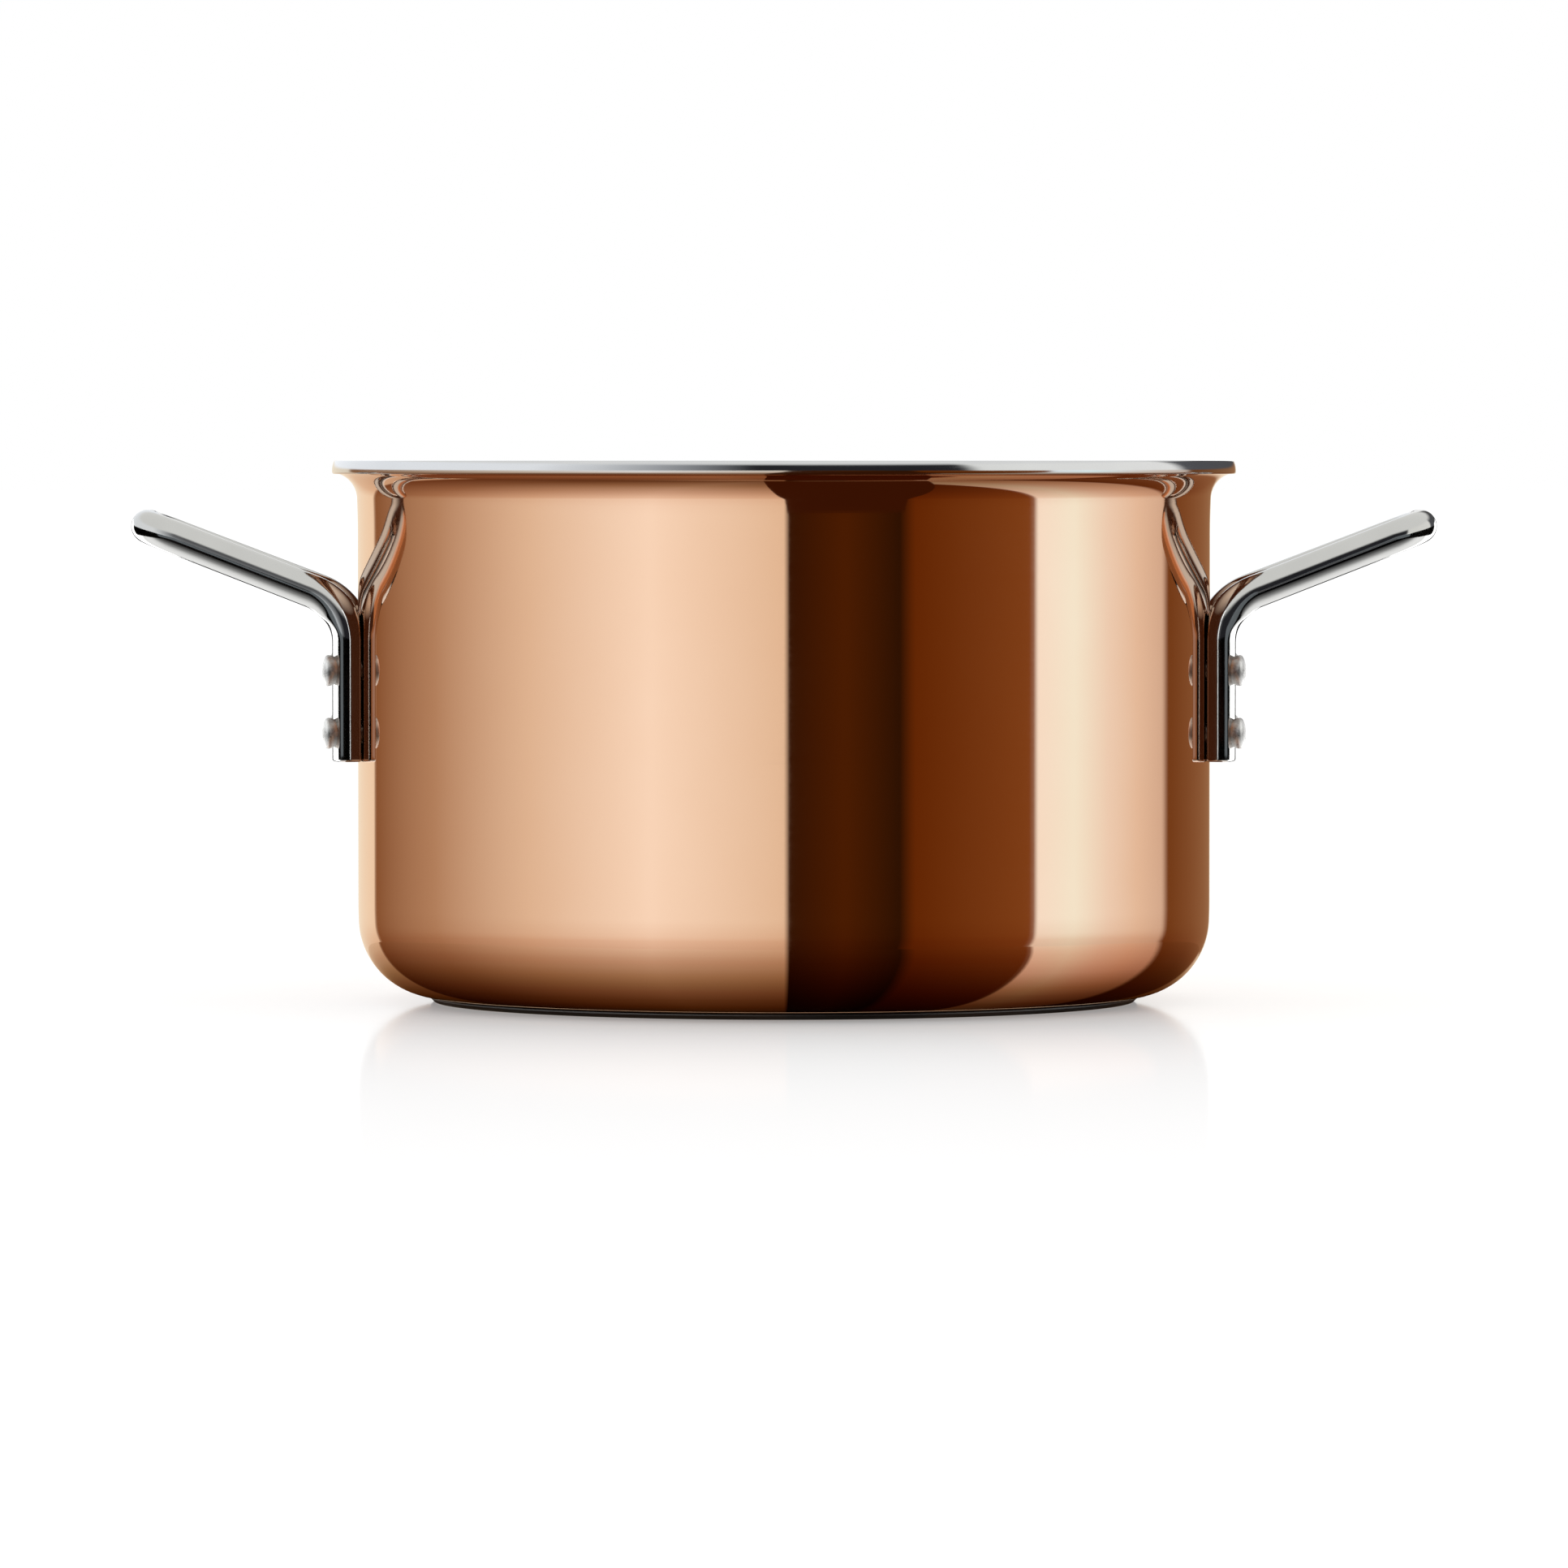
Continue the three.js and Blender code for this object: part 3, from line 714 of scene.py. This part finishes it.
def studio_colour(tree, direction, first_depth):
    """Nodes that give the colour of the studio in a direction, up to a ray depth as seen at first sight."""
    split = add_node(tree, "SeparateXYZ", {"Vector": direction})
    forward = add_node(tree, "Math", {0: split.outputs["Y"], 1: -1.0}, operation="MULTIPLY")
    azimuth = add_node(tree, "Math", {
        0: split.outputs["X"], 1: forward.outputs["Value"],
    }, operation="ARCTAN2")
    elevation = add_node(tree, "Math", {0: split.outputs["Z"]}, operation="ARCSINE")

    around = add_node(tree, "MapRange", {
        "Value": azimuth.outputs["Value"], "From Min": -math.pi, "From Max": math.pi,
    })
    low = add_node(tree, "ValToRGB", {"Fac": around.outputs["Result"]})
    set_stops(low, stops_between(*ALL_ROUND, LOW_PANELS))
    high = add_node(tree, "ValToRGB", {"Fac": around.outputs["Result"]})
    set_stops(high, stops_between(*ALL_ROUND, HIGH_PANELS))
    upward = add_node(tree, "MapRange", {
        "Value": elevation.outputs["Value"],
        "From Min": math.radians(STRAIGHT_DOWN), "From Max": math.radians(LEVEL),
    })
    fade = add_node(tree, "ValToRGB", {"Fac": upward.outputs["Result"]})
    set_stops(fade, stops_between(STRAIGHT_DOWN, LEVEL, PANEL_FADE))
    faded = add_node(tree, "Mix", {
        MIX_FACTOR: 1.0, MIX_FIRST: low.outputs["Color"], MIX_SECOND: fade.outputs["Color"],
    }, data_type="RGBA", blend_type="MULTIPLY")

    high_share = add_node(tree, "MapRange", {
        "Value": elevation.outputs["Value"],
        "From Min": math.radians(HIGH_START), "From Max": math.radians(HIGH_FULL),
    }, interpolation_type="SMOOTHSTEP")
    walls = add_node(tree, "Mix", {
        MIX_FACTOR: high_share.outputs["Result"],
        MIX_FIRST: faded.outputs[MIX_RESULT], MIX_SECOND: high.outputs["Color"],
    }, data_type="RGBA")
    ceiling_share = add_node(tree, "MapRange", {
        "Value": elevation.outputs["Value"],
        "From Min": math.radians(CEILING_START), "From Max": math.radians(CEILING_FULL),
    }, interpolation_type="SMOOTHSTEP")
    room = add_node(tree, "Mix", {
        MIX_FACTOR: ceiling_share.outputs["Result"],
        MIX_FIRST: walls.outputs[MIX_RESULT], MIX_SECOND: linear(CEILING),
    }, data_type="RGBA")

    ray = add_node(tree, "LightPath")
    second = add_node(tree, "Math", {0: ray.outputs["Ray Depth"], 1: first_depth}, operation="GREATER_THAN")
    second_in = add_node(tree, "MapRange", {
        "Value": elevation.outputs["Value"],
        "From Min": math.radians(SECOND_START), "From Max": math.radians(SECOND_FULL),
        "To Max": second.outputs["Value"],
    })
    second_out = add_node(tree, "MapRange", {
        "Value": elevation.outputs["Value"],
        "From Min": math.radians(SECOND_END), "From Max": math.radians(SECOND_LESS),
        "To Max": second_in.outputs["Result"],
    })
    seen = add_node(tree, "Mix", {
        MIX_FACTOR: second_out.outputs["Result"],
        MIX_FIRST: room.outputs[MIX_RESULT], MIX_SECOND: linear(SECOND_SIGHT),
    }, data_type="RGBA")
    return seen.outputs[MIX_RESULT]


# The strength of the even light that falls on the floor
FLOOR_LIGHT = 0.56

world = bpy.data.worlds.new("studio")
bpy.context.scene.world = world
world.use_nodes = True
world_tree = world.node_tree
world_tree.nodes.clear()
view_direction = add_node(world_tree, "TexCoord")
panel_light = studio_colour(world_tree, view_direction.outputs["Generated"], LAMP_FIRST)
studio = add_node(world_tree, "Background", {"Color": panel_light, "Strength": STUDIO_GLOW})
even = add_node(world_tree, "Background", {"Color": WHITE, "Strength": FLOOR_LIGHT})
backdrop = add_node(world_tree, "Background", {"Color": WHITE})
ray = add_node(world_tree, "LightPath")
lit = add_node(world_tree, "MixShader", {
    0: ray.outputs["Is Diffuse Ray"], 1: studio.outputs["Background"], 2: even.outputs["Background"],
})
seen = add_node(world_tree, "MixShader", {
    0: ray.outputs["Is Camera Ray"], 1: lit.outputs["Shader"], 2: backdrop.outputs["Background"],
})
add_node(world_tree, "OutputWorld", {"Surface": seen.outputs["Shader"]})


def stage_sheet(name, rows, material, reflected_only=True):
    """A sheet of the studio through rows of points in metres. Most show only in what the pot reflects."""
    mesh = bpy.data.meshes.new(name)
    columns = len(rows[0])
    first_corners = [row * columns + i for row in range(len(rows) - 1) for i in range(columns - 1)]
    faces = [(i, i + 1, i + columns + 1, i + columns) for i in first_corners]
    mesh.from_pydata([point for row in rows for point in row], [], faces)
    mesh.materials.append(material)
    sheet = bpy.data.objects.new(name, mesh)
    bpy.context.scene.collection.objects.link(sheet)
    if reflected_only:
        sheet.visible_camera = False
        sheet.visible_diffuse = False
    sheet.visible_shadow = False
    return sheet


def towards(azimuth, elevation):
    """The unit vector to an azimuth and elevation in degrees."""
    turn, rise = math.radians(azimuth), math.radians(elevation)
    return Vector((math.sin(turn) * math.cos(rise), -math.cos(turn) * math.cos(rise), math.sin(rise)))


def light_only(lamp, pieces):
    """Lets a lamp or glowing sheet light nothing but these pieces."""
    receivers = bpy.data.collections.new(lamp.name + "_receivers")
    for piece in pieces:
        receivers.objects.link(piece)
    lamp.light_linking.receiver_collection = receivers


# Floor: white acrylic with some light from below, which takes a soft, pale shadow and a faint reflection
# of the pot that dies away from it. It is clear from below, so that the pot's underside can be looked at.
FLOOR_REACH = 40.0
FLOOR_DROP = 0.0001
FLOOR_WHITE = "#f4f4f4"
FLOOR_ROUGHNESS = 0.08
FLOOR_GLOW = 0.55

# The share that the floor mirrors is this length over the distance from the pot's axis
MIRROR_REACH = 0.044
floor_material, floor_tree = bare_material("white_acrylic_floor")
floor_place = add_node(floor_tree, "TexCoord")
floor_distance = add_node(floor_tree, "VectorMath", {0: floor_place.outputs["Object"]}, operation="LENGTH")
floor_mirror = add_node(floor_tree, "Math", {
    0: MIRROR_REACH, 1: floor_distance.outputs["Value"],
}, operation="DIVIDE")
floor_white = add_node(floor_tree, "BsdfDiffuse", {"Color": linear(FLOOR_WHITE)})
floor_gloss = add_node(floor_tree, "BsdfGlossy", {"Color": WHITE, "Roughness": FLOOR_ROUGHNESS})
floor_glow = add_node(floor_tree, "Emission", {"Color": WHITE, "Strength": FLOOR_GLOW})
floor_lit = add_node(floor_tree, "AddShader", {
    0: floor_white.outputs["BSDF"], 1: floor_glow.outputs["Emission"],
})
floor_top = add_node(floor_tree, "MixShader", {
    0: floor_mirror.outputs["Value"], 1: floor_lit.outputs["Shader"], 2: floor_gloss.outputs["BSDF"],
})
floor_side = add_node(floor_tree, "NewGeometry")
floor_clear = add_node(floor_tree, "BsdfTransparent")
floor_mix = add_node(floor_tree, "MixShader", {
    0: floor_side.outputs["Backfacing"], 1: floor_top.outputs["Shader"], 2: floor_clear.outputs["BSDF"],
})
add_node(floor_tree, "OutputMaterial", {"Surface": floor_mix.outputs["Shader"]})
floor = stage_sheet("floor", [[Vector((x, y, -FLOOR_DROP)) for x in (-FLOOR_REACH, FLOOR_REACH)]
                              for y in (-FLOOR_REACH, FLOOR_REACH)], floor_material, reflected_only=False)
floor.visible_glossy = False

# So large and even a glow needs no sampling as a lamp
floor_material.cycles.emission_sampling = "NONE"

# A glowing sheet beside the pot, which its bottom corner shows in place of the floor: it paints the panels'
# light running on over the floor, and a painted shadow of the pot that darkens it towards the foot, listed
# as (radius, radius, colours from inside to outside) in metres
FOOT_START, FOOT_END = 0.085, 0.15
FOOT_SIDES = 96
FOOT_SHADE = [
    (FOOT_START, 0.1008, ["#281505", "#43220a", "#5a3820", "#745139", "#896b50"]),
    (0.1056, 0.118, ["#a08369", "#b59c88", "#c2a896"]),
    (0.13, FOOT_END, ["#d3c0b2", "#e2d4c9"]),
]

# The light panel at the right fades later than the others: its own painted shadow, and where it lies, as
# white
LIGHT_SHADE = [
    (FOOT_START, 0.1008, ["#30180a", "#482612", "#66412a", "#875f44", "#a47c65"]),
    (0.1056, 0.118, ["#bf9885", "#cfab99", "#d8b8a7"]),
    (0.13, FOOT_END, ["#e2c6b7", "#ead7cb"]),
]
LIGHT_PLACE = [(left, right, ["#ffffff" if left == LIGHT_PANEL_LEFT else "#000000"] * 2)
               for left, right, _ in LOW_PANELS]

# The panels draw in towards the foot: a place shows a panel from further round, by a share that falls
# with a power of its distance from the radius DRAW_FOOT
DRAW_FOOT = 0.078
DRAW_POWER = -0.6
DRAW_SHARE = 0.1025

# Behind the pot they draw in less: azimuths over which that sets in, and the share that it leaves
EASE_START, EASE_FULL = 100, 156
EASE_LEFT = 0.915

# Only what is as near as this sees it, which the bottom corner is and the flare isn't
FOOT_SIGHT = 0.1
# Painted light and shade: a glow in the panels' colours, under a painted shadow that darkens towards the
# foot
painted_foot_light_material, foot_tree = bare_material("painted_panel_light_and_foot_shadow")
foot_place = add_node(foot_tree, "TexCoord")
foot_split = add_node(foot_tree, "SeparateXYZ", {"Vector": foot_place.outputs["Object"]})
foot_forward = add_node(foot_tree, "Math", {0: foot_split.outputs["Y"], 1: -1.0}, operation="MULTIPLY")
foot_azimuth = add_node(foot_tree, "Math", {
    0: foot_split.outputs["X"], 1: foot_forward.outputs["Value"],
}, operation="ARCTAN2")
foot_distance = add_node(foot_tree, "VectorMath", {0: foot_place.outputs["Object"]}, operation="LENGTH")
foot_out = add_node(foot_tree, "Math", {
    0: foot_distance.outputs["Value"], 1: DRAW_FOOT,
}, operation="SUBTRACT")
foot_falling = add_node(foot_tree, "Math", {0: foot_out.outputs["Value"], 1: DRAW_POWER}, operation="POWER")
foot_draw = add_node(foot_tree, "Math", {
    0: foot_falling.outputs["Value"], 1: DRAW_SHARE, 2: 1.0,
}, operation="MULTIPLY_ADD")
foot_panel = add_node(foot_tree, "Math", {
    0: foot_azimuth.outputs["Value"], 1: foot_draw.outputs["Value"],
}, operation="MULTIPLY")
foot_wide = add_node(foot_tree, "Math", {0: foot_panel.outputs["Value"]}, operation="ABSOLUTE")
foot_ease = add_node(foot_tree, "MapRange", {
    "Value": foot_wide.outputs["Value"],
    "From Min": math.radians(EASE_START), "From Max": math.radians(EASE_FULL),
    "To Min": 1.0, "To Max": EASE_LEFT,
})
foot_eased = add_node(foot_tree, "Math", {
    0: foot_panel.outputs["Value"], 1: foot_ease.outputs["Result"],
}, operation="MULTIPLY")
foot_around = add_node(foot_tree, "MapRange", {
    "Value": foot_eased.outputs["Value"], "From Min": -math.pi, "From Max": math.pi,
})
foot_panels = add_node(foot_tree, "ValToRGB", {"Fac": foot_around.outputs["Result"]})
set_stops(foot_panels, stops_between(*ALL_ROUND, LOW_PANELS))
foot_outward = add_node(foot_tree, "MapRange", {
    "Value": foot_distance.outputs["Value"], "From Min": FOOT_START, "From Max": FOOT_END,
})
foot_shade = add_node(foot_tree, "ValToRGB", {"Fac": foot_outward.outputs["Result"]})
set_stops(foot_shade, stops_between(FOOT_START, FOOT_END, FOOT_SHADE))
light_shade = add_node(foot_tree, "ValToRGB", {"Fac": foot_outward.outputs["Result"]})
set_stops(light_shade, stops_between(FOOT_START, FOOT_END, LIGHT_SHADE))
light_place = add_node(foot_tree, "ValToRGB", {"Fac": foot_around.outputs["Result"]})
set_stops(light_place, stops_between(*ALL_ROUND, LIGHT_PLACE))
foot_shading = add_node(foot_tree, "Mix", {
    MIX_FACTOR: light_place.outputs["Color"],
    MIX_FIRST: foot_shade.outputs["Color"], MIX_SECOND: light_shade.outputs["Color"],
}, data_type="RGBA")
foot_colour = add_node(foot_tree, "Mix", {
    MIX_FACTOR: 1.0, MIX_FIRST: foot_panels.outputs["Color"], MIX_SECOND: foot_shading.outputs[MIX_RESULT],
}, data_type="RGBA", blend_type="MULTIPLY")
foot_glow = add_node(foot_tree, "Emission", {
    "Color": foot_colour.outputs[MIX_RESULT], "Strength": STUDIO_GLOW,
})
foot_ray = add_node(foot_tree, "LightPath")
foot_far = add_node(foot_tree, "Math", {
    0: foot_ray.outputs["Ray Length"], 1: FOOT_SIGHT,
}, operation="GREATER_THAN")
foot_clear = add_node(foot_tree, "BsdfTransparent")
foot_mix = add_node(foot_tree, "MixShader", {
    0: foot_far.outputs["Value"], 1: foot_glow.outputs["Emission"], 2: foot_clear.outputs["BSDF"],
})
add_node(foot_tree, "OutputMaterial", {"Surface": foot_mix.outputs["Shader"]})

# The sheet lies just under the floor and ends at the base plate's foot, which leaves the underside free
foot_inside = (bottom_flat_radius + BASE_OVERLAP - BASE_CHAMFER) * MM
foot_drop = 2 * FLOOR_DROP
stage_sheet("painted_panel_light_and_foot_shadow", [
    [towards(azimuth, 0) * reach - UP * foot_drop for azimuth in steps_between(*ALL_ROUND, FOOT_SIDES)]
    for reach in (foot_inside, FOOT_END)
], painted_foot_light_material)

# The dark gap between the panels runs on towards the pot, which widens the dark under the rim. The sheet
# slopes more than the sight of the wall and shows from above alone, so only the flare looks down on it.
GAP_COLOUR = "#3a1806"
GAP_HEIGHT = 0.06
GAP_SLOPE = math.tan(math.radians(2.4))
GAP_STEPS = 12

# Its edges, as (distance from the wall, left edge's x, right edge's azimuth), from the pot outward
GAP_EDGES = [
    (0.003, -0.0078, 31),
    (0.04, -0.008, 31),
    (0.26, -0.007, 31),
    (0.9, 0.005, 31.4),
    (2.7, 0.037, 31.8),
]
gap_material, gap_tree = bare_material("dark_gap")
gap_dark = add_node(gap_tree, "Emission", {"Color": linear(GAP_COLOUR)})
gap_clear = add_node(gap_tree, "BsdfTransparent")
gap_side = add_node(gap_tree, "NewGeometry")
gap_mix = add_node(gap_tree, "MixShader", {
    0: gap_side.outputs["Backfacing"], 1: gap_dark.outputs["Emission"], 2: gap_clear.outputs["BSDF"],
})
add_node(gap_tree, "OutputMaterial", {"Surface": gap_mix.outputs["Shader"]})
gap_rows = []
for run, left_x, right in reversed(GAP_EDGES):
    reach = BODY_RADIUS * MM + run
    left = math.degrees(math.asin(left_x / reach))
    height = GAP_HEIGHT - run * GAP_SLOPE
    gap_rows.append([towards(azimuth, 0) * reach + UP * height
                     for azimuth in steps_between(left, right, GAP_STEPS)])
stage_sheet("dark_gap", gap_rows, gap_material)

# A flag that is dark to the handles and rivets, and shows the other pieces the studio that it covers
FLAG_DISTANCE = 30.0
FLAG_LOW, FLAG_HIGH = -60, 4
FLAG_SIDES = 72
FLAG_ROWS = 24
flag_material, flag_tree = bare_material("handle_flag")
flag_place = add_node(flag_tree, "TexCoord")
flag_direction = add_node(flag_tree, "VectorMath", {0: flag_place.outputs["Object"]}, operation="NORMALIZE")
flag_light = studio_colour(flag_tree, flag_direction.outputs["Vector"], SHEET_FIRST)
flag_glow = add_node(flag_tree, "Emission", {"Color": flag_light, "Strength": STUDIO_GLOW})
add_node(flag_tree, "OutputMaterial", {"Surface": flag_glow.outputs["Emission"]})
flag = stage_sheet("handle_flag", [
    [towards(azimuth, elevation) * FLAG_DISTANCE for azimuth in steps_between(*ALL_ROUND, FLAG_SIDES)]
    for elevation in steps_between(FLAG_LOW, FLAG_HIGH, FLAG_ROWS)
], flag_material)
light_only(flag, [copper_shell, steel_liner, base_plate, floor])


# Cards that light the handles and rivets, each aimed at the front leg of its side, as (name, azimuth,
# elevation, distance, width, height, glow, colour) in metres and for the right side
FRONT_LEG = (0.105, -0.015, 0.075)
COPPER_GLOW = "#ec9c66"
HANDLE_CARDS = [
    ("back_card", 151, -10, 1.5, 0.5, 1.0, 2.2, "#ffffff"),
    ("slim_card", -20, 12, 2.0, 0.1, 1.7, 1.6, "#ffffff"),
    ("fill_card", 40, 0, 2.0, 1.4, 0.6, 0.22, "#dfeaf2"),
]
RIVET_CARD = ("rivet_card", 105, 25, 1.0, 1.2, 1.0, 0.6, "#ffffff")
WARM_CARDS = [
    ("high_warm_card", 60, 35, 1.2, 1.6, 0.8, 0.8, COPPER_GLOW),
    ("level_warm_card", 60, 0, 1.2, 3.4, 0.8, 0.45, COPPER_GLOW),
]

# Cards that lie on the floor under an arm, as (name, near x, far x, front y, back y, glow)
ARM_SHEET = ("arm_sheet", 0.11, 0.42, -0.25, 0.13, 1.3)
ELBOW_CARD = ("elbow_card", 0.205, 0.42, 0.13, 0.36, 1.8)

# The glow of the sheet under an arm, as (share of the way from its back to its front, glow)
ARM_SHEET_GLOW = [(0.0, 0.9), (0.24, 1.0), (0.38, 0.85), (0.42, 0.7), (0.54, 0.3), (0.7, 0.11), (1.0, 0.0)]


def card(name, pieces, place, aim, width, height, glow, colour="#ffffff"):
    """A card that lights these pieces alone."""
    light = bpy.data.lights.new(name, "AREA")
    light.shape = "RECTANGLE"
    light.size = width
    light.size_y = height
    light.energy = glow * math.pi * width * height
    light.color = linear(colour)[:3]
    lamp = bpy.data.objects.new(name, light)
    lamp.location = place
    lamp.rotation_euler = (Vector(aim) - Vector(place)).to_track_quat("-Z", "Y").to_euler()
    lamp.visible_camera = False
    bpy.context.scene.collection.objects.link(lamp)
    light_only(lamp, pieces)
    return lamp


def leg_card(side, pieces, name, azimuth, elevation, distance, width, height, glow, colour):
    """A card that is aimed at the front leg of a side."""
    sign = SIDE_SIGNS[side]
    aim_x, aim_y, aim_z = FRONT_LEG
    aim = Vector((sign * aim_x, aim_y, aim_z))
    place = aim + towards(sign * azimuth, elevation) * distance
    return card(f"{side}_{name}", pieces, place, aim, width, height, glow, colour)


def floor_card(side, pieces, name, near, far, front, back, glow):
    """A level card on the floor, which lights these pieces from below."""
    centre = Vector((SIDE_SIGNS[side] * (near + far) / 2, (front + back) / 2, FLOOR_DROP))
    lamp = card(f"{side}_{name}", pieces, centre, centre + UP, far - near, back - front, glow)
    lamp.rotation_euler = (math.pi, 0, 0)
    return lamp


def lamp_tree(lamp):
    """The empty tree of a lamp that is shaded by nodes."""
    lamp.data.use_nodes = True
    lamp.data.node_tree.nodes.clear()
    return lamp.data.node_tree


for side in SIDE_SIGNS:
    steel = [handles[side], *rivets[side]]
    for handle_card in HANDLE_CARDS:
        leg_card(side, steel, *handle_card)
    leg_card(side, rivets[side], *RIVET_CARD)

    # The sheet under the arm shades from bright at the back to dark in front
    sheet = floor_card(side, steel, *ARM_SHEET)
    sheet_tree = lamp_tree(sheet)
    sheet_place = add_node(sheet_tree, "NewGeometry")
    sheet_split = add_node(sheet_tree, "SeparateXYZ", {"Vector": sheet_place.outputs["Parametric"]})
    sheet_ramp = add_node(sheet_tree, "ValToRGB", {"Fac": sheet_split.outputs["Y"]})
    set_stops(sheet_ramp, [(share, grey(glow)) for share, glow in ARM_SHEET_GLOW])
    sheet_glow = add_node(sheet_tree, "Emission", {"Color": sheet_ramp.outputs["Color"]})
    add_node(sheet_tree, "OutputLight", {"Surface": sheet_glow.outputs["Emission"]})
    floor_card(side, steel, *ELBOW_CARD)

    # Warm cards that show by way of the copper alone, in its picture of the handle
    for warm_card in WARM_CARDS:
        warm_tree = lamp_tree(leg_card(side, steel, *warm_card))
        warm_ray = add_node(warm_tree, "LightPath")
        warm_second = add_node(warm_tree, "Math", {
            0: warm_ray.outputs["Ray Depth"], 1: LAMP_FIRST,
        }, operation="GREATER_THAN")
        warm_glow = add_node(warm_tree, "Emission", {"Strength": warm_second.outputs["Value"]})
        add_node(warm_tree, "OutputLight", {"Surface": warm_glow.outputs["Emission"]})

# Camera: level with the rim, far off with a long lens, tipped down a little
CAMERA_DISTANCE = 2.37
CAMERA_HEIGHT = 0.13
CAMERA_DIP = math.radians(1.882)
CAMERA_LENS = 225.97
SENSOR_WIDTH = 36.0

camera_data = bpy.data.cameras.new("camera")
camera_data.lens = CAMERA_LENS
camera_data.sensor_fit = "HORIZONTAL"
camera_data.sensor_width = SENSOR_WIDTH
camera = bpy.data.objects.new("camera", camera_data)
camera.location = (0, -CAMERA_DISTANCE, CAMERA_HEIGHT)
camera.rotation_euler = (math.pi / 2 - CAMERA_DIP, 0, 0)
bpy.context.scene.collection.objects.link(camera)
bpy.context.scene.camera = camera

# Colours come out as they are lit, with no film look over them
bpy.context.scene.view_settings.view_transform = "Standard"
